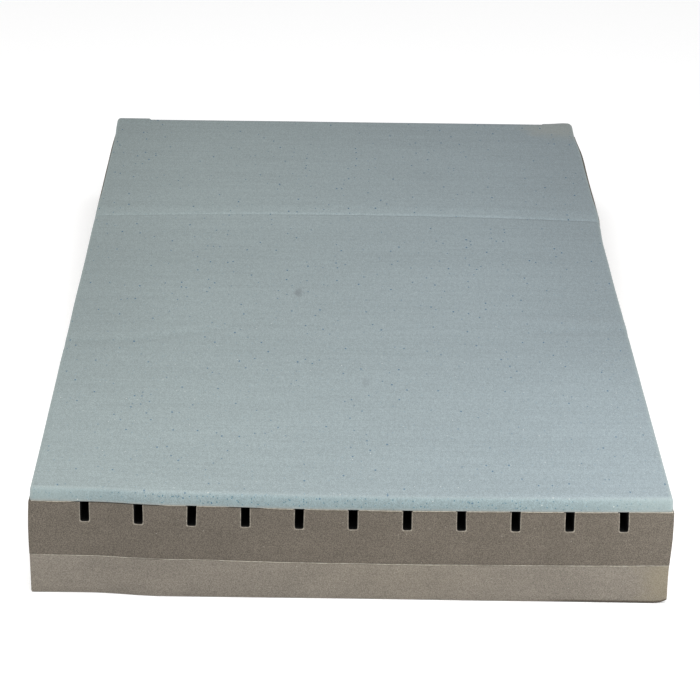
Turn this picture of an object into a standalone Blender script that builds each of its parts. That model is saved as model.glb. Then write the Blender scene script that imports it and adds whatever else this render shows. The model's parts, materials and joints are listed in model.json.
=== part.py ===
"""Foam core of a pressure relief mattress for a profiling bed.

Three foam layers are glued into one slab: a soft memory foam sheet on top, a slotted slab under it, and a firm
base. The slab bends over the hinges of the bed's deck, so each layer is cut there into sections that turn as
rigid bodies:

    legs (-Y)  |  thigh  |  thigh fold  |  seat  |  hip fold  |  head (+Y)

The folds are the wedges of foam that are squeezed when the head section or the thigh section rises. The leg
section slopes down from the raised knee, and its foot end stays on the deck.
Metres, +Z up, +Y towards the head end. The origin is the centre of the underside.
"""

import math

import bmesh
import bpy

# Driving dimensions
LENGTH = 2.000
WIDTH = 0.900
BASE_THICKNESS = 0.053
SLOTTED_THICKNESS = 0.082
MEMORY_THICKNESS = 0.022

# Air slots, open into the slotted foam's top face. The row of slots sits a little to the right of the middle
SLOTS = 11
SLOT_PITCH = 0.0755
SLOT_SHIFT = 0.004
SLOT_WIDTH = 0.0125
SLOT_DEPTH = 0.029
SLOT_CORNER_RADIUS = 0.003
SLOT_CORNER_STEPS = 3

# Folds: each turns about a line on the underside, where the bed's deck has its hinges
HEAD_LENGTH = LENGTH / 3
SEAT_LENGTH = 0.300
LEG_LENGTH = LENGTH / 3
HIP_Y = LENGTH / 2 - HEAD_LENGTH
THIGH_Y = HIP_Y - SEAT_LENGTH
KNEE_Y = -LENGTH / 2 + LEG_LENGTH
HEAD_RISE_DEG = 70.0
THIGH_RISE_DEG = 30.0
FOLD_TOE = 0.004

# Glue films, the clearance round every piece, and the soft upper rim of the memory foam
FILM = 0.0006
GAP = 0.0003
RIM_RADIUS = 0.006
RIM_STEPS = 4

HEIGHT = BASE_THICKNESS + SLOTTED_THICKNESS + MEMORY_THICKNESS
LOWER_JOINT = BASE_THICKNESS
UPPER_JOINT = BASE_THICKNESS + SLOTTED_THICKNESS
CLEAR_OF_JOINT = FILM / 2 + GAP
TOLERANCE = 1e-6


def clear_scene():
    for thing in list(bpy.data.objects):
        bpy.data.objects.remove(thing)


def foam_material(name, colour, roughness):
    material = bpy.data.materials.new(name)
    material.use_nodes = True
    shader = material.node_tree.nodes["Principled BSDF"]
    shader.inputs["Base Color"].default_value = (*colour, 1.0)
    shader.inputs["Roughness"].default_value = roughness
    shader.inputs["Metallic"].default_value = 0.0
    return material


def section_empty(name, y):
    """The parent of one section's pieces, on the line that the section turns about if it turns."""
    empty = bpy.data.objects.new(name, None)
    empty.location = (0.0, y, 0.0)
    bpy.context.collection.objects.link(empty)
    return empty


# Profiles across the width: corners as (x, z), counter-clockwise seen from the foot end


def slab_profile(bottom, top):
    half = WIDTH / 2
    return [(-half, bottom), (half, bottom), (half, top), (-half, top)]


def slot_outline(centre, top):
    """One slot from its right lip to its left lip, with rounded corners at its floor."""
    half = SLOT_WIDTH / 2
    floor = top - SLOT_DEPTH
    inset = half - SLOT_CORNER_RADIUS
    points = [(centre + half, top)]
    for side, start in ((1, 0), (-1, 270)):
        for step in range(SLOT_CORNER_STEPS + 1):
            angle = math.radians(start - 90 * step / SLOT_CORNER_STEPS)
            x = centre + side * inset + SLOT_CORNER_RADIUS * math.cos(angle)
            z = floor + SLOT_CORNER_RADIUS + SLOT_CORNER_RADIUS * math.sin(angle)
            points.append((x, z))
    points.append((centre - half, top))
    return points


def slotted_profile(bottom, top):
    half = WIDTH / 2
    points = [(-half, bottom), (half, bottom), (half, top)]
    for slot in reversed(range(SLOTS)):
        from_middle = slot - (SLOTS - 1) / 2
        points += slot_outline(SLOT_SHIFT + from_middle * SLOT_PITCH, top)
    points.append((-half, top))
    return points


# Ends of the sections along the length: each returns a function that gives Y for a height z


def upright(y):
    return lambda z: y


def fold_face(hinge, rise_deg, side, clearance):
    """A face that leans away from the fold's hinge line by half its full rise, so that the fold can close.

    side is 1 for the face towards the head end and -1 for the other. clearance moves it away from the fold.
    """
    slope = math.tan(math.radians(rise_deg / 2))
    return lambda z: hinge + side * (z * slope + clearance)


def outer_rim(mesh):
    """The edges round the lying surface that lie on the outside of the mattress."""
    edges = []
    for edge in mesh.edges:
        ends = [vertex.co for vertex in edge.verts]
        on_top = all(abs(p.z - HEIGHT) < TOLERANCE for p in ends)
        on_side = all(abs(abs(p.x) - WIDTH / 2) < TOLERANCE for p in ends)
        on_end = all(abs(abs(p.y) - LENGTH / 2) < TOLERANCE for p in ends)
        if on_top and (on_side or on_end):
            edges.append(edge)
    return edges


def add_piece(name, profile, near, far, material, parent):
    """A profile swept along the length between two end faces, which may slope. Its origin is its parent's."""
    mesh = bmesh.new()
    first = [mesh.verts.new((x, near(z), z)) for x, z in profile]
    last = [mesh.verts.new((x, far(z), z)) for x, z in profile]
    mesh.faces.new(first)
    mesh.faces.new(reversed(last))
    for i in range(len(profile)):
        j = (i + 1) % len(profile)
        mesh.faces.new((first[j], first[i], last[i], last[j]))
    rim = outer_rim(mesh)
    if rim:
        bmesh.ops.bevel(mesh, geom=rim, offset=RIM_RADIUS, segments=RIM_STEPS, profile=0.5, affect="EDGES")
    bmesh.ops.recalc_face_normals(mesh, faces=mesh.faces)
    bmesh.ops.translate(mesh, verts=mesh.verts, vec=-parent.location)
    data = bpy.data.meshes.new(name)
    mesh.to_mesh(data)
    mesh.free()
    data.materials.append(material)
    data.shade_smooth()
    data.set_sharp_from_angle(angle=math.radians(30))
    piece = bpy.data.objects.new(name, data)
    piece.parent = parent
    bpy.context.collection.objects.link(piece)


def layers():
    """Each layer's name, its profile across the width, its lowest and highest points, and its material."""
    memory = foam_material("memory_foam", (0.33, 0.45, 0.48), 0.85)
    slotted = foam_material("slotted_foam", (0.19, 0.165, 0.135), 0.95)
    base = foam_material("base_foam", (0.27, 0.24, 0.195), 0.95)
    glue = foam_material("glue", (0.58, 0.53, 0.44), 0.55)
    return (
        ("base_foam", slab_profile, 0.0, LOWER_JOINT - CLEAR_OF_JOINT, base),
        ("lower_glue_film", slab_profile, LOWER_JOINT - FILM / 2, LOWER_JOINT + FILM / 2, glue),
        ("slotted_foam", slotted_profile, LOWER_JOINT + CLEAR_OF_JOINT, UPPER_JOINT - CLEAR_OF_JOINT, slotted),
        ("upper_glue_film", slab_profile, UPPER_JOINT - FILM / 2, UPPER_JOINT + FILM / 2, glue),
        ("memory_foam", slab_profile, UPPER_JOINT + CLEAR_OF_JOINT, HEIGHT, memory),
    )


def sections():
    """Each section's name and the two faces that it ends at."""
    room = GAP / 2
    foot_end, head_end = upright(-LENGTH / 2), upright(LENGTH / 2)
    below_knee, above_knee = upright(KNEE_Y - room), upright(KNEE_Y + room)
    thigh_near, thigh_far = (fold_face(THIGH_Y, THIGH_RISE_DEG, side, room) for side in (-1, 1))
    hip_near, hip_far = (fold_face(HIP_Y, HEAD_RISE_DEG, side, room) for side in (-1, 1))
    return (
        ("legs", foot_end, below_knee),
        ("thigh", above_knee, thigh_near),
        ("seat", thigh_far, hip_near),
        ("head", hip_far, head_end),
    )


def build_mattress():
    origins = {"legs": KNEE_Y, "thigh": THIGH_Y, "seat": 0.0, "head": HIP_Y}
    empties = {section: section_empty(f"{section}_section", y) for section, y in origins.items()}
    folds = (("hip_fold", HIP_Y, HEAD_RISE_DEG), ("thigh_fold", THIGH_Y, THIGH_RISE_DEG))
    for layer, profile, bottom, top, material in layers():
        shape = profile(bottom, top)
        for section, near, far in sections():
            add_piece(f"{layer}_{section}", shape, near, far, material, empties[section])
        # A wedge stops just above the line it would taper to
        wedge = profile(max(bottom, FOLD_TOE), top)
        for fold, hinge, rise_deg in folds:
            near = fold_face(hinge, rise_deg, -1, -GAP / 2)
            far = fold_face(hinge, rise_deg, 1, -GAP / 2)
            add_piece(f"{layer}_{fold}", wedge, near, far, material, empties["seat"])


clear_scene()
build_mattress()
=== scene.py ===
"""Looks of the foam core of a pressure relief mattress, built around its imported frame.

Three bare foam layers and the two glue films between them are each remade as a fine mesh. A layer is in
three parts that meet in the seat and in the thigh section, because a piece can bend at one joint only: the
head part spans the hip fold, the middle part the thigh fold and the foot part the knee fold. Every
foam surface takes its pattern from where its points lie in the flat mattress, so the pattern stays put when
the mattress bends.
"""

import json
import math

import bmesh
import bpy
import numpy as np
from mathutils import Matrix, Vector, noise


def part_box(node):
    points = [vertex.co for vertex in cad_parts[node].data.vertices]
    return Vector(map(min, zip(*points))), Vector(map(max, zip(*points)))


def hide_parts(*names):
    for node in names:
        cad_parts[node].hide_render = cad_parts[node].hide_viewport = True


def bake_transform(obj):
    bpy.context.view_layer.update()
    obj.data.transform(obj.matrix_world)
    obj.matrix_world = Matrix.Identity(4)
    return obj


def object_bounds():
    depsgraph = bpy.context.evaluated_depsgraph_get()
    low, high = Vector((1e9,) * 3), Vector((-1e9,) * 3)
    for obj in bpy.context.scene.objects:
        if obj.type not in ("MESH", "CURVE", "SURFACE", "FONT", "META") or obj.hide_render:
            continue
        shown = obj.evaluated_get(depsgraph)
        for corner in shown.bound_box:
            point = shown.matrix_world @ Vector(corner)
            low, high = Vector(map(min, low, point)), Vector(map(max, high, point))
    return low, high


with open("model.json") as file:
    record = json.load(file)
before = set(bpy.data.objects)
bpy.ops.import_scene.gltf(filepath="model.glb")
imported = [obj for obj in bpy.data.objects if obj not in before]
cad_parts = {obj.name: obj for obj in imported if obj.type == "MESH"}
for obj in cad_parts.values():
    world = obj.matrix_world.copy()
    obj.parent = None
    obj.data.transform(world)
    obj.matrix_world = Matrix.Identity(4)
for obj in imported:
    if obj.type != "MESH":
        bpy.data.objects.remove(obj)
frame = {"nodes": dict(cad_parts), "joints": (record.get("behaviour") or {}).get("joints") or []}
CAD_LOW, CAD_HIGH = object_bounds()

# Sizes from the frame
HALF_WIDTH = CAD_HIGH.x
HALF_LENGTH = CAD_HIGH.y
HEIGHT = CAD_HIGH.z
FOLDS = {joint["name"]: joint["pos_m"][1] for joint in frame["joints"]}
HIP_Y = FOLDS["backrest_fold"]
THIGH_Y = FOLDS["thigh_raise"]
KNEE_Y = FOLDS["knee_fold"]
BASE_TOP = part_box("base_foam_legs")[1].z
SLOTTED_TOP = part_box("slotted_foam_legs")[1].z
MEMORY_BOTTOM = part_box("memory_foam_legs")[0].z

# Mesh spacing
STEP_X = 0.0095
STEP_Y = 0.0085
STEP_Z = 0.0095
FINE_STEP = 0.0028
CREASE_REACH = 0.035
SPREAD_OUT = 0.15
END_CELL = 0.010
SLOTTED_END_CELL = 0.003

# Edges
CUT_EDGE = 0.0007
MEMORY_RIM = 0.0075
MEMORY_CORNER = 0.006
BASE_RIM = 0.002
SLOT_CORNER = 0.0028
LIP_WIDTH = 0.0018

# At the head end the outer strips of the memory foam stand a little high, with a step beside them
STRIP_WIDTH = 0.0615
STRIP_STEP = 0.003

# How the folds bend: the reach of each bend to either side of its hinge
HIP_REACH = 0.17
THIGH_REACH = 0.11
KNEE_REACH = 0.19

# Where the parts of a layer meet, between the bends
HEAD_MEETS = (HIP_Y - HIP_REACH + THIGH_Y + THIGH_REACH) / 2
FOOT_MEETS = (THIGH_Y - THIGH_REACH + KNEE_Y + KNEE_REACH) / 2

TINY = 1e-5


# ---------------------------------------------------------------- numbers


def step_up(value, low, high):
    """0 below low, 1 above high, and a smooth climb between them."""
    t = np.clip((value - low) / (high - low), 0, 1)
    return t * t * (3 - 2 * t)


def hump(value, centre, width):
    """A smooth hump 1 high at its centre."""
    return np.exp(-(((value - centre) / width) ** 2))


def drift(points, size, seed):
    """Smooth noise between about -1 and 1.

    It changes over `size` metres, one number or one for each axis.
    """
    shifted = points / np.array(size) + np.array([17.3, 5.1, 9.7]) * seed
    return np.array([noise.noise(Vector(place)) for place in shifted])


# ---------------------------------------------------------------- how the foam lies
# Each function says how far one habit of the real slab moves its points, along one axis.


def crease_line(x):
    """Where the fold crease crosses the lying surface: it bows towards the head end."""
    return HIP_Y + 0.003 + 0.024 * (1 - (x / HALF_WIDTH) ** 2)


def crease_depth(x, y, z):
    """The hip crease: a sharp little valley, a shallow trough before it and a low step up after it."""
    past = y - crease_line(x)
    valley = -0.0022 * hump(past, 0, 0.0045)
    trough = -0.0009 * hump(past, -0.014, 0.012)
    step = 0.0011 * step_up(past, 0.026, 0.052) * (1 - step_up(past, 0.10, 0.35))
    return (valley + trough + step) * step_up(z, HEIGHT * 0.45, HEIGHT)


def knee_wrinkles(x, y):
    """Faint wrinkles over the knee fold, 1 on a crest and -1 in a valley.

    They die out away from the long edges.
    """
    left = 1 - step_up(x, -0.30, -0.08)
    slanting = y - (KNEE_Y - 0.039 + 0.108 * step_up(x, -0.42, -0.08))
    wrinkles = left * (0.6 * hump(slanting, 0.030, 0.014) - hump(slanting, 0, 0.012))
    right = step_up(x, 0.26, 0.32)
    wrinkles += right * (0.6 * hump(y, KNEE_Y + 0.082, 0.016) - hump(y, KNEE_Y + 0.043, 0.013))
    wrinkles -= 0.6 * step_up(x, 0.19, 0.24) * hump(y, KNEE_Y + 0.130, 0.011)
    return wrinkles


def foot_sag(x, y, z):
    """At the foot end both glue lines stand higher on the left than in the middle.

    The right corner is worn off.
    """
    lift = np.interp(z, (0, BASE_TOP, SLOTTED_TOP), (0, 0.0040, 0.0031))
    left_lift = 0.0023 * hump(x, -0.23, 0.12)
    sag = 0.0038 * (1 - (x / HALF_WIDTH) ** 2)
    right_corner = 0.0045 * step_up(x, HALF_WIDTH - 0.014, HALF_WIDTH) * (1 - step_up(z, 0, 0.012))
    wave = (lift + (left_lift - sag) * step_up(z, 0, BASE_TOP)) * np.exp(-(y + HALF_LENGTH) / 0.30)
    return wave + right_corner * (1 - step_up(y, -HALF_LENGTH, 0.03 - HALF_LENGTH))


def head_corners(x, y, z):
    """At the head end the outer strips of the memory foam stand a little high.

    The right one climbs to its corner.
    """
    inner = HALF_WIDTH - STRIP_WIDTH
    strip = step_up(np.abs(x), inner - STRIP_STEP / 2, inner + STRIP_STEP / 2)
    rise = np.where(x > 0, 0.0014 + 0.0030 * step_up(x, inner, HALF_WIDTH), 0.0024)
    return rise * strip * step_up(y, HALF_LENGTH - 0.06, HALF_LENGTH) * step_up(z, SLOTTED_TOP, HEIGHT)


def end_shift(x, y):
    """The foot end is cut askew, with its left corner set back.

    The head end is straight but for its right corner.
    """
    foot = 0.0030 - 0.0110 * step_up(x, -0.37, -0.26) - 0.0040 * step_up(x, -0.10, HALF_WIDTH)
    at_foot = 1 - step_up(y, -HALF_LENGTH, 0.30 - HALF_LENGTH)
    at_head = step_up(y, HALF_LENGTH - 0.30, HALF_LENGTH)
    head = 0.0014 - 0.0120 * step_up(x, HALF_WIDTH - 0.016, HALF_WIDTH) * step_up(y, 0.94, HALF_LENGTH)
    return foot * at_foot + head * at_head


def side_bulge(x, z):
    """Both sides bulge in the slotted foam and draw in at the floor, the right side more."""
    left = 0.0036 * hump(z, 0.085, 0.080) - 0.0008 * (1 - z / HEIGHT)
    right = 0.0034 * hump(z, 0.115, 0.055) - 0.0021 * (1 - z / HEIGHT)
    return np.where(x > 0, right, left)


def side_waves(x, y):
    """The left edge runs straight, a little askew.

    The right one draws in, swells past the hip and ends drawn in.
    """
    left = 0.0008 + 0.0024 * y
    right = -0.0002 - 0.0018 * step_up(y, -HALF_LENGTH, 0.10) + 0.0040 * step_up(y, 0.18, 0.40)
    right -= 0.0055 * step_up(y, 0.77, 0.99)
    return np.where(x > 0, right, left)


def lay(points):
    """The points of a perfect slab, moved to where they lie on the real one."""
    x, y, z = points.T
    moved = points.copy()
    side = step_up(np.abs(x), HALF_WIDTH - 0.07, HALF_WIDTH) * np.sign(x)
    moved[:, 0] += side * (side_bulge(x, z) + side_waves(x, y))
    moved[:, 1] += end_shift(x, y)
    moved[:, 2] += crease_depth(x, y, z) + foot_sag(x, y, z) + head_corners(x, y, z)
    moved[:, 2] += 0.0015 * knee_wrinkles(x, y) * step_up(z, HEIGHT * 0.45, HEIGHT)
    # The knife wanders: slow waves on every cut face, which vanish on the underside
    wave = drift(points, (0.16, 0.16, 0.05), 1)
    edge_x = step_up(np.abs(x), HALF_WIDTH - 0.02, HALF_WIDTH) * np.sign(x)
    edge_y = step_up(np.abs(y), HALF_LENGTH - 0.02, HALF_LENGTH) * np.sign(y)
    moved[:, 0] += 0.0006 * edge_x * wave
    moved[:, 1] += 0.0008 * edge_y * wave
    ripple = 0.0002 * drift(points, (0.35, 0.030, 0.4), 2) + 0.0004 * drift(points, (0.25, 0.20, 0.5), 3)
    moved[:, 2] += ripple * step_up(z, HEIGHT * 0.5, HEIGHT)
    return moved


# ---------------------------------------------------------------- fine meshes


def spread(start, end, step):
    """Even places from start to end, about `step` apart."""
    return np.linspace(start, end, max(1, round(abs(end - start) / step)) + 1)


def along(start, end, end_cell):
    """Places along the length, closer together round the hip crease, with a cell of end_cell at both ends."""
    crease = crease_line(0)
    places = [start, start + end_cell]
    while places[-1] < end - end_cell:
        away = max(abs(places[-1] - crease) - CREASE_REACH, 0)
        places.append(places[-1] + min(STEP_Y, FINE_STEP + away * SPREAD_OUT))
    inner = np.array(places[1:])
    inner = inner[0] + (inner - inner[0]) * (end - end_cell - inner[0]) / (inner[-1] - inner[0])
    return np.concatenate([[start], inner, [end]])


def slots_of_frame():
    """The left and right lip of each air slot, and the height of the slots' floors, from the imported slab."""
    low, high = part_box("slotted_foam_seat")
    corners = [vertex.co for vertex in frame["nodes"]["slotted_foam_seat"].data.vertices]
    lips = sorted({round(corner.x, 4) for corner in corners if high.z - corner.z < TINY})[1:-1]
    floor = min(corner.z for corner in corners if corner.z - low.z > TINY)
    return list(zip(lips[0::2], lips[1::2])), floor


SLOTS, SLOT_FLOOR = slots_of_frame()


def through(marks, step):
    """Even places about `step` apart from the first mark to the last, with every mark among them."""
    runs = [spread(a, b, step) for a, b in zip(marks, marks[1:])]
    return np.unique(np.round(np.concatenate(runs), 6))


def across(layer):
    """Places across the width.

    The slotted foam and the glue need the lips of the slots and a line beside each.
    """
    if layer == "base_foam":
        return through([-HALF_WIDTH, HALF_WIDTH], STEP_X)
    if layer == "memory_foam":
        step = HALF_WIDTH - STRIP_WIDTH
        marks = [-HALF_WIDTH, -step - STRIP_STEP / 2, -step + STRIP_STEP / 2]
        return through(marks + [-mark for mark in reversed(marks)], STEP_X)
    lips = [place for left, right in SLOTS for place in (left - LIP_WIDTH, left, right, right + LIP_WIDTH)]
    return through([-HALF_WIDTH] + lips + [HALF_WIDTH], STEP_X)


def lattice_skin(xs, ys, zs, filled):
    """Corners and outward quads of the skin round the filled cells of a lattice."""
    numbers = np.arange(len(xs) * len(ys) * len(zs)).reshape(len(xs), len(ys), len(zs))
    padded = np.pad(filled, 1)
    quads = []
    for axis in range(3):
        order = (axis, (axis + 1) % 3, (axis + 2) % 3)
        cells = np.transpose(padded, order)[:, 1:-1, 1:-1]
        corner = np.transpose(numbers, order)
        ring = [corner[:, :-1, :-1], corner[:, 1:, :-1], corner[:, 1:, 1:], corner[:, :-1, 1:]]
        before, after = cells[:-1], cells[1:]
        for facing, turn in ((before & ~after, 1), (after & ~before, -1)):
            quads.append(np.stack([c[facing] for c in ring[::turn]], 1))
    used, quads = np.unique(np.concatenate(quads), return_inverse=True)
    i, j, k = np.unravel_index(used, numbers.shape)
    return np.stack([xs[i], ys[j], zs[k]], 1), quads.reshape(-1, 4)


def where_parts_meet(y):
    return abs(y - HEAD_MEETS) < TINY or abs(y - FOOT_MEETS) < TINY


def round_edges(mesh, radius, steps, chosen):
    """Rounds the sharp edges for which chosen(middle, direction) is true.

    The ends where parts meet stay sharp.
    """
    picked = []
    for edge in mesh.edges:
        a, b = (vertex.co for vertex in edge.verts)
        inside_layer = where_parts_meet(a.y) and where_parts_meet(b.y)
        if inside_layer or edge.calc_face_angle(0) < math.radians(50):
            continue
        if chosen((a + b) / 2, (b - a).normalized()):
            picked.append(edge)
    if picked:
        bmesh.ops.bevel(mesh, geom=picked, offset=radius, segments=steps, profile=0.5, affect="EDGES")


def is_upright(middle, direction):
    return abs(direction.z) > 0.9


def is_any(middle, direction):
    return True


def at_height(height):
    def chosen(middle, direction):
        return abs(middle.z - height) < TINY and abs(direction.z) < 0.1

    return chosen


def slot_floor_corner(middle, direction):
    return abs(middle.z - SLOT_FLOOR) < TINY and abs(direction.y) > 0.9


def facings(mesh):
    """Which way the skin faces at each vertex. The flat ends where the parts meet don't count."""
    normals = []
    for vertex in mesh.verts:
        normal = Vector()
        for face in vertex.link_faces:
            if not where_parts_meet(vertex.co.y) or abs(face.normal.y) < 0.9:
                normal += face.normal
        normals.append(normal.normalized())
    return np.array(normals)


def rim_amount(normals):
    """How near each vertex is to a rounded edge: 0 on a flat face and 1 in the middle of an edge."""
    return np.clip((1 - np.abs(normals).max(axis=1)) / (1 - math.sqrt(0.5)), 0, 1)


def cut_amount(normals):
    """1 on the upright cut faces and 0 on the level ones."""
    return step_up(np.hypot(normals[:, 0], normals[:, 1]), 0.55, 0.95)


def away_from_slots(points):
    """How far each point lies outside the outline of the nearest air slot, seen from the end of the slab."""
    x, z = points[:, 0], points[:, 2]
    beside = np.min([np.maximum(np.maximum(left - x, x - right), 0) for left, right in SLOTS], axis=0)
    return np.hypot(beside, np.maximum(SLOT_FLOOR - z, 0))


def painted_slot_shade(points):
    """How much painted shade darkens the air slots at each point.

    0 outside and at the mouth, 1 from under a millimetre inside.
    """
    y, z = points[:, 1], points[:, 2]
    inside = (away_from_slots(points) < TINY) & (z < MEMORY_BOTTOM + TINY)
    return inside * step_up(HALF_LENGTH - np.abs(y), 0.0001, CUT_EDGE)


def slot_lip(points):
    """1 along the sawn mouth of each air slot, fading out over LIP_WIDTH."""
    y = points[:, 1]
    at_end = HALF_LENGTH - np.abs(y) < CUT_EDGE + TINY
    return at_end * (1 - step_up(away_from_slots(points), CUT_EDGE * 0.5, LIP_WIDTH))


def add_number(data, name, values):
    attribute = data.attributes.new(name, "FLOAT", "POINT")
    attribute.data.foreach_set("value", np.asarray(values, np.float32))


def finish_mesh(name, mesh, material, move):
    """Keeps each point's place in the flat mattress for the materials, then moves it to where it lies."""
    mesh.normal_update()
    normals = facings(mesh)
    data = bpy.data.meshes.new(name)
    mesh.to_mesh(data)
    mesh.free()
    points = np.zeros(len(data.vertices) * 3)
    data.vertices.foreach_get("co", points)
    points = points.reshape(-1, 3)
    flat = data.attributes.new("flat_place", "FLOAT_VECTOR", "POINT")
    flat.data.foreach_set("vector", points.ravel().astype(np.float32))
    add_number(data, "rim", rim_amount(normals))
    add_number(data, "cut_face", cut_amount(normals))
    add_number(data, "painted_slot_shade", painted_slot_shade(points))
    add_number(data, "slot_lip", slot_lip(points))
    add_number(data, "past_crease", points[:, 1] - crease_line(points[:, 0]))
    add_number(data, "wrinkle", knee_wrinkles(points[:, 0], points[:, 1]))
    data.vertices.foreach_set("co", move(points).ravel())
    data.materials.append(material)
    data.shade_smooth()
    data.set_sharp_from_angle(angle=math.radians(60))
    piece = bpy.data.objects.new(name, data)
    bpy.context.scene.collection.objects.link(piece)
    return piece


# ---------------------------------------------------------------- the five layers


def memory_foam(mesh):
    bottom, top = layer_heights("memory_foam")
    round_edges(mesh, MEMORY_CORNER, 4, is_upright)
    round_edges(mesh, MEMORY_RIM, 5, at_height(top))
    round_edges(mesh, CUT_EDGE, 2, at_height(bottom))


def slotted_foam(mesh):
    round_edges(mesh, SLOT_CORNER, 3, slot_floor_corner)
    round_edges(mesh, CUT_EDGE, 2, is_any)


def base_foam(mesh):
    bottom, top = layer_heights("base_foam")
    round_edges(mesh, BASE_RIM, 3, is_upright)
    round_edges(mesh, BASE_RIM, 3, at_height(bottom))
    round_edges(mesh, CUT_EDGE, 2, at_height(top))


def glue_film(mesh):
    """The films are too thin to round: their ragged edge is made when they are laid."""


def layer_heights(layer):
    low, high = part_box(layer + "_legs")
    return low.z, high.z


def lay_memory(points):
    """The memory foam is a little narrower than the slab under it, most so between hip and head end."""
    x, y, z = points.T
    inset = 0.0015 + 0.0018 * step_up(y, 0.40, 0.50) - 0.0020 * step_up(y, 0.88, 0.97)
    pulled = points.copy()
    pulled[:, 0] -= np.sign(x) * inset * step_up(np.abs(x), HALF_WIDTH - 0.03, HALF_WIDTH)
    slump = 0.0012 * (1 - step_up(z, MEMORY_BOTTOM, HEIGHT)) - 0.0006
    pulled[:, 1] += np.sign(y) * slump * step_up(np.abs(y), HALF_LENGTH - 0.03, HALF_LENGTH)
    return lay(pulled)


def lay_slotted(points):
    """The saw that cut the slots wandered.

    Past the hip crease the slab stands out beyond the memory foam.
    """
    x, y, z = points.T
    sawn = points.copy()
    proud = np.where(x > 0, 0.0034 + 0.0022 * step_up(y, 0.75, 0.90), 0.0020) * step_up(y, 0.33, 0.43)
    proud -= np.where(x > 0, 0.0010, 0.0020) * step_up(y, 0.84, HALF_LENGTH)
    sawn[:, 0] += np.sign(x) * proud * step_up(np.abs(x), HALF_WIDTH - 0.03, HALF_WIDTH)
    inside = step_up(HALF_WIDTH - np.abs(x), 0, 0.03)
    wander = 0.0009 * drift(points, (0.06, 0.35, 0.035), 6)
    sawn[:, 0] += inside * (0.0012 - 0.0013 * hump(x, -0.03, 0.17) + wander)
    sawn[:, 2] += 0.0011 * hump(z, SLOT_FLOOR, 0.010) * drift(points, (0.05, 0.40, 1.0), 7)
    return lay(sawn)


def lay_film(points):
    """The glue squeezes out in some places and stays short of the edge in others, most over the slots."""
    x, y, z = points.T
    ragged = 0.0016 * drift(points, (0.05, 0.05, 0.2), 4) - 0.0004
    ragged += 0.0008 * drift(points, (0.012, 0.012, 0.2), 5)
    pulled = points.copy()
    is_upper = z > SLOT_FLOOR
    under_memory = is_upper * (0.0020 + 0.0035 * step_up(y, 0.33, 0.43))
    pulled[:, 0] += np.sign(x) * (ragged - under_memory) * (HALF_WIDTH - np.abs(x) < TINY)
    over_slot = away_from_slots(points) < TINY
    dry = (hump(x, -0.367, 0.018) + hump(x, -0.305, 0.032) + hump(x, -0.147, 0.020)) * (y < 0)
    ragged = ragged + is_upper * (0.0009 - 0.006 * over_slot - 0.007 * dry)
    pulled[:, 1] += np.sign(y) * ragged * (HALF_LENGTH - np.abs(y) < TINY)
    return lay(pulled)


def heights_between(layer):
    """Places up through a layer, with the slots' floor among them where the layer has slots."""
    bottom, top = layer_heights(layer)
    if layer != "slotted_foam":
        return spread(bottom, top, STEP_Z)
    return through([bottom, SLOT_FLOOR - LIP_WIDTH, SLOT_FLOOR, top], STEP_Z)


def filled_cells(layer, xs, ys, zs):
    """All cells of a layer's lattice but those of its air slots."""
    filled = np.ones((len(xs) - 1, len(ys) - 1, len(zs) - 1), bool)
    if layer == "slotted_foam":
        middle_x = (xs[:-1] + xs[1:]) / 2
        above_floor = (zs[:-1] + zs[1:]) / 2 > SLOT_FLOOR
        in_slot = np.any([(middle_x > left) & (middle_x < right) for left, right in SLOTS], axis=0)
        filled &= ~(in_slot[:, None, None] & above_floor[None, None, :])
    return filled


# The parts of each layer: a name, both ends, the bodies it bends between, its bend, and its CAD sections
PARTS = (
    (
        "head_part",
        (HEAD_MEETS, HALF_LENGTH),
        ("seat_section", "head_section"),
        (HIP_Y - HIP_REACH, HIP_Y + HIP_REACH),
        ("seat", "hip_fold", "head"),
    ),
    (
        "middle_part",
        (FOOT_MEETS, HEAD_MEETS),
        ("seat_section", "thigh_section"),
        (THIGH_Y + THIGH_REACH, THIGH_Y - THIGH_REACH),
        ("seat", "thigh_fold", "thigh"),
    ),
    (
        "foot_part",
        (-HALF_LENGTH, FOOT_MEETS),
        ("thigh_section", "leg_section"),
        (KNEE_Y + KNEE_REACH, KNEE_Y - KNEE_REACH),
        ("thigh", "legs"),
    ),
)


def build_layer(layer, shape, move, material):
    """One layer as a head, a middle and a foot part, each spanning its own fold."""
    for part, (start, end), bodies, (bend_start, bend_end), sections in PARTS:
        end_cell = SLOTTED_END_CELL if layer == "slotted_foam" else END_CELL
        xs, ys, zs = across(layer), along(start, end, end_cell), heights_between(layer)
        corners, quads = lattice_skin(xs, ys, zs, filled_cells(layer, xs, ys, zs))
        data = bpy.data.meshes.new("blank")
        data.from_pydata(corners.tolist(), [], quads.tolist())
        mesh = bmesh.new()
        mesh.from_mesh(data)
        bpy.data.meshes.remove(data)
        mesh.normal_update()
        shape(mesh)
        piece = finish_mesh(f"{layer}_{part}", mesh, material, move)
        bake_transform(piece)
        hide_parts(*[f"{layer}_{section}" for section in sections])


# ---------------------------------------------------------------- materials

# Colours of the two cut foams
SLOTTED_BROWN = (0.1135, 0.0985, 0.0805)
SLOTTED_WARM = (0.117, 0.101, 0.082)
BASE_GREY = (0.170, 0.152, 0.128)
BASE_WARM = (0.177, 0.157, 0.129)
DARK_PORE = (0.03, 0.026, 0.02)
PALE_CRUMB = (0.50, 0.48, 0.43)
# Paler edges: wear on the rims, and a painted highlight along the slot mouths
EDGE_WEAR_AND_HIGHLIGHT = (0.33, 0.30, 0.25)
YELLOWED = (0.205, 0.175, 0.105)
# Painted contact shadow along the bottom edge of the base foam
PAINTED_CONTACT_SHADOW = (0.030, 0.022, 0.015)
# Painted shade: the near black inside the air slots
PAINTED_SLOT_SHADE = (0.0015, 0.0014, 0.0012)

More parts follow.
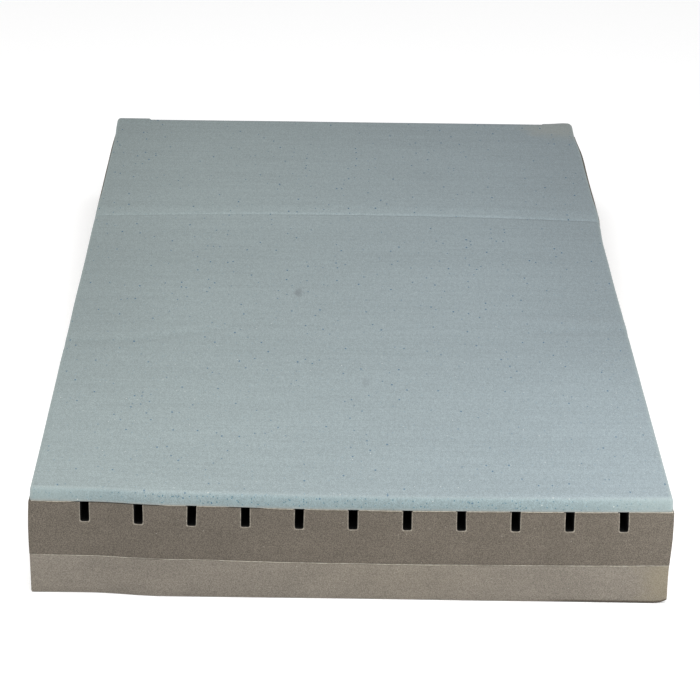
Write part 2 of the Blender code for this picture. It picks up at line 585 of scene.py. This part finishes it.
# Colours of the memory foam
GEL_TOP_LEFT = (0.218, 0.258, 0.259)
GEL_TOP_RIGHT = (0.216, 0.258, 0.275)
GEL_CUT = (0.203, 0.257, 0.266)
GEL_CUT_PALE = (0.232, 0.276, 0.278)
YELLOWED_GEL = (0.28, 0.275, 0.232)
FAINT_BEAD = (0.06, 0.17, 0.26)
STRONG_BEAD = (0.025, 0.09, 0.16)
FRESH_BEAD = (0.035, 0.12, 0.17)
SPARKLE = (0.80, 0.80, 0.79)
# Painted light towards the ends of the memory foam's cut face
PAINTED_LIGHT_AT_ENDS = (0.28, 0.333, 0.325)
# Painted highlight on the rounded rim near the ends
PAINTED_RIM_HIGHLIGHT = (0.35, 0.39, 0.39)
LOWER_EDGE = (0.27, 0.27, 0.25)
CREAM_CRUMB = (0.62, 0.60, 0.55)
DUST = (0.27, 0.23, 0.18)

# Colours of the glue
THIN_GLUE = (0.36, 0.33, 0.27)
THICK_GLUE = (0.55, 0.52, 0.44)

# Two smudges on the lying surface: the place and size of each as (x, y), and its strength
SMUDGE_GREY = (0.09, 0.10, 0.11)
SMUDGE_DEPTH = 0.03
SMUDGES = (
    ((-0.084, -0.102), (0.0095, 0.032), 0.44),
    ((0.026, -0.539), (0.0080, 0.024), 0.17),
)


class Pattern:
    """A Principled material and short ways to add the nodes that its pattern needs."""

    def __init__(self, name, roughness):
        self.material = bpy.data.materials.new(name)
        self.material.use_nodes = True
        self.tree = self.material.node_tree
        self.shader = self.tree.nodes["Principled BSDF"]
        self.shader.inputs["Roughness"].default_value = roughness
        self.shader.inputs["Specular IOR Level"].default_value = 0.10
        self.place = self.attribute("flat_place", "Vector")

    def feed(self, socket, value):
        """Links an output to an input, or sets the input's value."""
        if isinstance(value, bpy.types.NodeSocket):
            self.tree.links.new(value, socket)
        elif socket.type == "RGBA":
            socket.default_value = (*value, 1.0)
        else:
            socket.default_value = value

    def attribute(self, name, output):
        node = self.tree.nodes.new("ShaderNodeAttribute")
        node.attribute_name = name
        return node.outputs[output]

    def stretched(self, sizes):
        """The place divided by a size for each axis, so that a pattern of size 1 repeats over those sizes."""
        node = self.tree.nodes.new("ShaderNodeVectorMath")
        node.operation = "DIVIDE"
        self.feed(node.inputs[0], self.place)
        self.feed(node.inputs[1], sizes)
        return node.outputs[0]

    def coordinate(self, axis):
        """The place along one axis of the flat mattress."""
        node = self.tree.nodes.new("ShaderNodeSeparateXYZ")
        self.feed(node.inputs[0], self.place)
        return node.outputs[axis]

    def distance(self, axis):
        """How far a point is from the middle of the flat mattress, along one axis."""
        return self.math("ABSOLUTE", self.coordinate(axis))

    def noise(self, sizes, detail=2.0, rough=0.5):
        """Smooth noise round 0.5 that changes over the given sizes in metres, one for each axis."""
        node = self.tree.nodes.new("ShaderNodeTexNoise")
        self.feed(node.inputs["Vector"], self.stretched(sizes))
        self.feed(node.inputs["Scale"], 1.0)
        self.feed(node.inputs["Detail"], detail)
        self.feed(node.inputs["Roughness"], rough)
        return node.outputs["Factor"] if "Factor" in node.outputs else node.outputs["Fac"]

    def cells(self, sizes):
        """Distance to the nearest of randomly strewn points, and two random numbers for each."""
        node = self.tree.nodes.new("ShaderNodeTexVoronoi")
        self.feed(node.inputs["Vector"], self.stretched(sizes))
        self.feed(node.inputs["Scale"], 1.0)
        split = self.tree.nodes.new("ShaderNodeSeparateColor")
        self.feed(split.inputs[0], node.outputs["Color"])
        return node.outputs["Distance"], split.outputs[0], split.outputs[1]

    def math(self, operation, a, b=0.0):
        node = self.tree.nodes.new("ShaderNodeMath")
        node.operation = operation
        self.feed(node.inputs[0], a)
        self.feed(node.inputs[1], b)
        return node.outputs[0]

    def product(self, first, *others):
        """All the numbers multiplied."""
        for other in others:
            first = self.math("MULTIPLY", first, other)
        return first

    def ramp(self, value, low, high, to_low=0.0, to_high=1.0):
        """value mapped smoothly from low..high to to_low..to_high."""
        node = self.tree.nodes.new("ShaderNodeMapRange")
        node.interpolation_type = "SMOOTHSTEP"
        for name, number in (("Value", value), ("From Min", low), ("From Max", high)):
            self.feed(node.inputs[name], number)
        self.feed(node.inputs["To Min"], to_low)
        self.feed(node.inputs["To Max"], to_high)
        return node.outputs[0]

    def mix(self, share, first, second):
        """Colours mixed by share: first at 0, second at 1."""
        node = self.tree.nodes.new("ShaderNodeMix")
        node.data_type = "RGBA"
        self.feed(node.inputs[0], share)
        self.feed(node.inputs[6], first)
        self.feed(node.inputs[7], second)
        return node.outputs[2]

    def scaled(self, colour, by):
        """A colour times a number."""
        node = self.tree.nodes.new("ShaderNodeVectorMath")
        node.operation = "SCALE"
        self.feed(node.inputs[0], colour)
        self.feed(node.inputs["Scale"], by)
        return node.outputs[0]

    def dots(self, size, radius, share, drawn_out=1.0):
        """1 in dots strewn about `size` apart.

        Only a share of the points has one, and their radii differ.
        """
        distance, lot, spin = self.cells((size, size * drawn_out, size))
        reach = self.math("MULTIPLY", self.ramp(spin, 0, 1, 0.60, 1.0), radius / size)
        inside = self.math("LESS_THAN", distance, reach)
        return self.math("MULTIPLY", inside, self.math("LESS_THAN", lot, share))

    def spot(self, centre, sizes, strength):
        """strength round a place on the flat mattress, fading unevenly to nothing at `sizes` from it."""
        node = self.tree.nodes.new("ShaderNodeVectorMath")
        node.operation = "DISTANCE"
        self.feed(node.inputs[0], self.stretched(sizes))
        self.feed(node.inputs[1], [place / size for place, size in zip(centre, sizes)])
        frayed = self.ramp(self.noise([size * 0.5 for size in sizes], detail=3.0), 0.3, 0.7, 0.75, 1.25)
        return self.ramp(self.math("MULTIPLY", node.outputs["Value"], frayed), 0.25, 1.0, strength, 0.0)

    def bump(self, height, depth):
        """Adds a bump on top of those added so far. depth is what a height of 1 stands for, in metres."""
        node = self.tree.nodes.new("ShaderNodeBump")
        self.feed(node.inputs["Height"], height)
        self.feed(node.inputs["Distance"], depth)
        before = self.shader.inputs["Normal"]
        if before.is_linked:
            self.feed(node.inputs["Normal"], before.links[0].from_socket)
        self.feed(before, node.outputs[0])

    def with_painted_slot_shade(self, colour):
        """The colour with painted shade inside the air slots, where it turns nearly black."""
        return self.mix(self.attribute("painted_slot_shade", "Fac"), colour, PAINTED_SLOT_SHADE)


def cut_foam(name, colour, warm, grain, edge):
    """Fine-celled polyurethane foam cut with a knife: grainy, a little blotchy, dull, with painted light
    towards the long sides, a painted highlight along the slot mouths, and paler on its edges from wear and a
    painted highlight.
    """
    p = Pattern(name, 0.95)
    cell = p.noise((0.0013, 0.0013, 0.0013), detail=1.0, rough=0.6)
    blotch = p.noise((0.05, 0.07, 0.03), detail=3.0)
    streak = p.noise((0.30, 0.30, 0.0035), detail=2.0)
    slow = p.noise((0.45, 0.55, 0.3), detail=1.0)
    light = p.product(
        p.ramp(cell, 0.25, 0.75, 1 - grain, 1 + grain),
        p.ramp(blotch, 0.3, 0.7, 0.96, 1.04),
        p.ramp(streak, 0.3, 0.7, 0.98, 1.02),
        # Painted light: paler towards the long sides, where more light falls
        p.ramp(p.distance("X"), 0.31, HALF_WIDTH, 0.99, 1.06),
    )
    tone = p.mix(p.ramp(slow, 0.35, 0.7), colour, warm)
    tone = p.scaled(tone, light)
    tone = p.mix(p.product(p.dots(0.0085, 0.0013, 0.5), 0.32), tone, DARK_PORE)
    tone = p.mix(p.product(p.dots(0.0110, 0.0009, 0.4), 0.50), tone, PALE_CRUMB)
    # A painted highlight along the mouths of the air slots
    lip_noise = p.noise((0.004, 0.004, 0.004), detail=2.0)
    lip_highlight = p.product(p.attribute("slot_lip", "Fac"), p.ramp(lip_noise, 0.3, 0.65, 0.2, 0.85))
    tone = p.mix(lip_highlight, tone, EDGE_WEAR_AND_HIGHLIGHT)
    # Paler rims from wear and a painted highlight
    tone = p.mix(p.product(p.attribute("rim", "Fac"), edge), tone, EDGE_WEAR_AND_HIGHLIGHT)
    p.shader.inputs["Sheen Weight"].default_value = 0.04
    p.bump(p.noise((0.020, 0.030, 0.006), detail=2.0), 0.0010)
    p.bump(cell, 0.0007)
    # Painted shade inside the air slots
    p.feed(p.shader.inputs["Base Color"], p.with_painted_slot_shade(tone))
    return p


def slotted_foam_look():
    return cut_foam("slotted_foam_cut", SLOTTED_BROWN, SLOTTED_WARM, 0.38, 0.08).material


def base_foam_look():
    """The base foam has yellowed at the right corner of its foot end and has a painted contact shadow along
    its bottom edge on the right.
    """
    p = cut_foam("base_foam_cut", BASE_GREY, BASE_WARM, 0.30, 0.10)
    tone = p.shader.inputs["Base Color"].links[0].from_socket
    corner = p.spot((HALF_WIDTH, -HALF_LENGTH, 0.03), (0.060, 0.045, 0.060), 0.34)
    tone = p.mix(corner, tone, YELLOWED)
    # Painted contact shadow along the bottom edge, on the right
    low = p.ramp(p.coordinate("Z"), 0.0015, 0.0050, 0.80, 0.0)
    tone = p.mix(p.product(low, p.ramp(p.coordinate("X"), 0.24, 0.34)), tone, PAINTED_CONTACT_SHADOW)
    p.feed(p.shader.inputs["Base Color"], tone)
    return p.material


def crease_light_and_shade(p):
    """Painted light and shade round the hip crease: a painted highlight band up to a pale painted lip, and
    painted shade in the fold.
    """
    past = p.attribute("past_crease", "Fac")
    # band and lip are painted highlights, fold is painted shade
    band = p.product(p.ramp(past, -0.001, 0.003), p.ramp(past, 0.003, 0.065, 0.07, 0.0))
    lip = p.product(p.ramp(past, -0.001, 0.002), p.ramp(past, 0.004, 0.009, 0.06, 0.0))
    fold = p.product(p.ramp(past, -0.0100, -0.0060), p.ramp(past, -0.0040, 0.0, -0.28, 0.0))
    crease = p.math("ADD", p.math("ADD", band, lip), fold)
    weaker_at_left = p.ramp(p.coordinate("X"), -0.38, 0.10, 0.60, 1.05)
    return p.math("ADD", p.product(crease, weaker_at_left), 1.0)


def slow_tone(p):
    """How the memory foam's tone changes over the sheet: darker beside the long edges and over the knee."""
    x, y = p.coordinate("X"), p.coordinate("Y")
    beside = p.product(p.ramp(p.distance("X"), 0.22, HALF_WIDTH, 0.0, 0.09), p.ramp(y, -0.8, -0.2))
    far_left = p.product(p.ramp(x, -0.42, 0.38, 0.075, 0.0), p.ramp(y, 0.12, 0.36))
    near_right = p.product(p.ramp(x, 0.18, 0.42, 0.0, 0.045), p.ramp(y, -0.50, -0.20, 1.0, 0.0))
    over_knee = p.ramp(p.math("ABSOLUTE", p.math("ADD", y, 0.42)), 0.0, 0.26, 0.022, 0.0)
    paler = p.math("ADD", p.math("ADD", far_left, near_right), p.ramp(y, 0.75, HALF_LENGTH, 1.0, 0.965))
    return p.math("SUBTRACT", paler, p.math("ADD", beside, over_knee))


def gel_light(p, cell, slices, on_cut):
    """How light the memory foam is: its grain, its slices, painted light and shade at the hip crease and on
    the knee wrinkles, and the changes over the whole sheet.
    """
    fleck = p.noise((0.004, 0.012, 0.004), detail=1.0)
    bands = p.noise((0.80, 0.028, 0.40), detail=1.0)
    blotch = p.noise((0.20, 0.09, 0.06), detail=3.0)
    fall = p.ramp(p.coordinate("Z"), MEMORY_BOTTOM + 0.002, HEIGHT - 0.003, 0.94, 1.06)
    return p.product(
        p.ramp(cell, 0.25, 0.75, 0.82, 1.18),
        p.ramp(slices, 0.3, 0.7, 0.973, 1.027),
        p.ramp(bands, 0.3, 0.7, 0.991, 1.009),
        p.ramp(blotch, 0.3, 0.7, 0.985, 1.015),
        p.ramp(fleck, 0.3, 0.7, 0.96, 1.04),
        crease_light_and_shade(p),
        # Painted light and shade on the knee wrinkles: lighter on the crests, darker in the valleys
        p.ramp(p.attribute("wrinkle", "Fac"), -1, 1, 0.960, 1.030),
        slow_tone(p),
        p.math("ADD", p.product(p.math("SUBTRACT", fall, 1.0), on_cut), 1.0),
    )


def gel_beads(p, tone, on_cut):
    """Three sizes of blue gel beads, plainest on the cut face, and small white sparkles."""
    y = p.coordinate("Y")
    faint = p.product(p.dots(0.0067, 0.0010, 0.5, 1.5), p.ramp(on_cut, 0, 1, 0.35, 0.60))
    tone = p.mix(faint, tone, FAINT_BEAD)
    strong = p.product(p.dots(0.0118, 0.0015, 0.6, 2.0), p.ramp(y, -0.9, 0.1, 0.72, 1.00))
    tone = p.mix(strong, tone, STRONG_BEAD)
    fresh = p.product(p.dots(0.0048, 0.0011, 0.6), p.product(on_cut, 0.75))
    tone = p.mix(fresh, tone, FRESH_BEAD)
    white = p.product(p.dots(0.0125, 0.0007, 0.6), p.ramp(y, -0.5, 0.1, 0.80, 0.25))
    return p.mix(white, tone, SPARKLE)


def gel_edges(p, tone, on_cut):
    """The memory foam pales with painted light towards the ends of its cut face, has a painted highlight on
    its rim near the ends, and pales along its lower edge.
    """
    rim = p.attribute("rim", "Fac")
    on_edge = p.math("MAXIMUM", on_cut, rim)
    # Painted light: the cut face is paler towards its ends, where more light falls from the sides
    ends = p.ramp(p.distance("X"), 0.29, HALF_WIDTH, 0.0, 0.48)
    tone = p.mix(p.product(ends, on_edge), tone, PAINTED_LIGHT_AT_ENDS)
    # Painted highlight on the rounded rim near the ends of the sheet
    worn = p.ramp(p.distance("Y"), HALF_LENGTH - 0.05, HALF_LENGTH - 0.01, 0.05, 0.28)
    tone = p.mix(p.product(rim, worn), tone, PAINTED_RIM_HIGHLIGHT)
    low = p.ramp(p.coordinate("Z"), MEMORY_BOTTOM, MEMORY_BOTTOM + 0.0045, 0.55, 0.0)
    tone = p.mix(p.product(low, on_edge), tone, LOWER_EDGE)
    tone = p.mix(p.product(p.dots(0.0080, 0.0011, 0.4), rim), tone, CREAM_CRUMB)
    dusty = p.product(rim, p.ramp(p.coordinate("Y"), HALF_LENGTH - 0.02, HALF_LENGTH, 0.0, 0.6))
    return p.mix(dusty, tone, DUST)


def gel_foam():
    """Pale blue memory foam, sliced across its length and strewn with deep blue gel beads."""
    p = Pattern("memory_foam_gel", 0.90)
    cell = p.noise((0.0013, 0.0026, 0.0013), detail=1.0, rough=0.6)
    slices = p.noise((0.22, 0.0060, 0.20), detail=3.0, rough=0.55)
    on_cut = p.attribute("cut_face", "Fac")
    top = p.mix(p.ramp(p.coordinate("X"), -HALF_WIDTH, HALF_WIDTH), GEL_TOP_LEFT, GEL_TOP_RIGHT)
    tone = p.mix(on_cut, top, GEL_CUT)
    tone = p.mix(p.spot((-0.25, -HALF_LENGTH, HEIGHT), (0.09, 0.05, 0.05), 0.5), tone, GEL_CUT_PALE)
    tone = p.scaled(tone, gel_light(p, cell, slices, on_cut))
    tone = p.mix(p.spot((0.43, 0.97, HEIGHT), (0.12, 0.12, 0.12), 0.35), tone, YELLOWED_GEL)
    tone = gel_beads(p, tone, on_cut)
    for place, size, strength in SMUDGES:
        tone = p.mix(p.spot((*place, HEIGHT), (*size, SMUDGE_DEPTH), strength), tone, SMUDGE_GREY)
    tone = gel_edges(p, tone, on_cut)
    # Painted shade on the underside over the air slots
    p.feed(p.shader.inputs["Base Color"], p.with_painted_slot_shade(tone))
    p.shader.inputs["Sheen Weight"].default_value = 0.06
    p.bump(slices, 0.0008)
    p.bump(cell, 0.0005)
    return p.material


def dried_glue():
    """Cured spray glue: a cream web, lighter and shinier than the foam."""
    p = Pattern("dried_glue", 0.55)
    web = p.noise((0.004, 0.004, 0.004), detail=3.0)
    tone = p.mix(p.ramp(web, 0.35, 0.65), THIN_GLUE, THICK_GLUE)
    # Painted shade where the film spans the air slots
    p.feed(p.shader.inputs["Base Color"], p.with_painted_slot_shade(tone))
    p.bump(web, 0.0006)
    return p.material


# ---------------------------------------------------------------- studio

# The camera stands far beyond the foot end, a little above it, with a long lens
CAMERA_PLACE = Vector((-0.0412, -5.1887, 1.8155))
CAMERA_DOWN = math.radians(19.06)
CAMERA_ROLL = math.radians(-0.87)
CAMERA_TURN = math.radians(-0.51)
CAMERA_LENS = 165.7
SENSOR = 36.0
SEES_AS_FAR_AS = 200


# The floor glows a little and the backdrop is seen brighter than it lights, so that both come out white
FLOOR_SIZE = 60
FLOOR_TONE = 0.93
FLOOR_GLOW = 0.20
BELOW_MATTRESS = 0.0005
WORLD_LIGHT = 0.74
WORLD_SEEN = 1.0


def add_camera():
    data = bpy.data.cameras.new("camera")
    data.sensor_width = SENSOR
    data.lens = CAMERA_LENS
    data.clip_end = SEES_AS_FAR_AS
    camera = bpy.data.objects.new("camera", data)
    bpy.context.scene.collection.objects.link(camera)
    aim = Matrix.Rotation(CAMERA_TURN, 4, "Z") @ Matrix.Rotation(math.radians(90) - CAMERA_DOWN, 4, "X")
    camera.matrix_world = Matrix.Translation(CAMERA_PLACE) @ aim @ Matrix.Rotation(-CAMERA_ROLL, 4, "Z")
    bpy.context.scene.camera = camera


def add_softbox(name, place, aim, size, power):
    data = bpy.data.lights.new(name, "AREA")
    data.shape = "RECTANGLE"
    data.size, data.size_y = size
    data.energy = power
    light = bpy.data.objects.new(name, data)
    light.location = place
    light.rotation_euler = (Vector(aim) - Vector(place)).to_track_quat("-Z", "Y").to_euler()
    light.visible_camera = False
    bpy.context.scene.collection.objects.link(light)


def add_floor():
    """A plain pale floor, wide enough to reach the horizon."""
    mesh = bmesh.new()
    bmesh.ops.create_grid(mesh, x_segments=2, y_segments=2, size=FLOOR_SIZE)
    data = bpy.data.meshes.new("floor")
    mesh.to_mesh(data)
    mesh.free()
    material = bpy.data.materials.new("floor")
    material.use_nodes = True
    shader = material.node_tree.nodes["Principled BSDF"]
    shader.inputs["Base Color"].default_value = (FLOOR_TONE, FLOOR_TONE, FLOOR_TONE, 1)
    shader.inputs["Roughness"].default_value = 0.9
    shader.inputs["Emission Color"].default_value = (1, 1, 1, 1)
    shader.inputs["Emission Strength"].default_value = FLOOR_GLOW
    data.materials.append(material)
    floor = bpy.data.objects.new("floor", data)
    floor.location.z = CAD_LOW.z - BELOW_MATTRESS
    bpy.context.scene.collection.objects.link(floor)


def add_world():
    """Soft white light from all round. The camera sees a whiter backdrop than the light it gives."""
    world = bpy.data.worlds.new("studio")
    world.use_nodes = True
    tree = world.node_tree
    path = tree.nodes.new("ShaderNodeLightPath")
    strength = tree.nodes.new("ShaderNodeMapRange")
    strength.inputs["To Min"].default_value = WORLD_LIGHT
    strength.inputs["To Max"].default_value = WORLD_SEEN
    tree.links.new(path.outputs["Is Camera Ray"], strength.inputs["Value"])
    tree.links.new(strength.outputs["Result"], tree.nodes["Background"].inputs["Strength"])
    tree.nodes["Background"].inputs["Color"].default_value = (1.0, 1.0, 1.0, 1)
    bpy.context.scene.world = world


def add_studio():
    add_world()
    add_floor()
    add_softbox("key", place=(-0.1, -1.2, 2.65), aim=(-0.1, -1.2, 0), size=(2.2, 1.6), power=56)
    fill = (0.7, 0.5)
    add_softbox("right_fill", place=(1.15, -1.75, 0.75), aim=(0.2, -1.0, 0.1), size=fill, power=10.5)
    add_softbox("left_fill", place=(-1.15, -1.75, 0.75), aim=(-0.2, -1.0, 0.1), size=fill, power=2.5)
    add_camera()
    bpy.context.scene.view_settings.view_transform = "Standard"


# ---------------------------------------------------------------- everything


def build_mattress():
    glue = dried_glue()
    build_layer("base_foam", base_foam, lay, base_foam_look())
    build_layer("lower_glue_film", glue_film, lay_film, glue)
    build_layer("slotted_foam", slotted_foam, lay_slotted, slotted_foam_look())
    build_layer("upper_glue_film", glue_film, lay_film, glue)
    build_layer("memory_foam", memory_foam, lay_memory, gel_foam())


build_mattress()
add_studio()
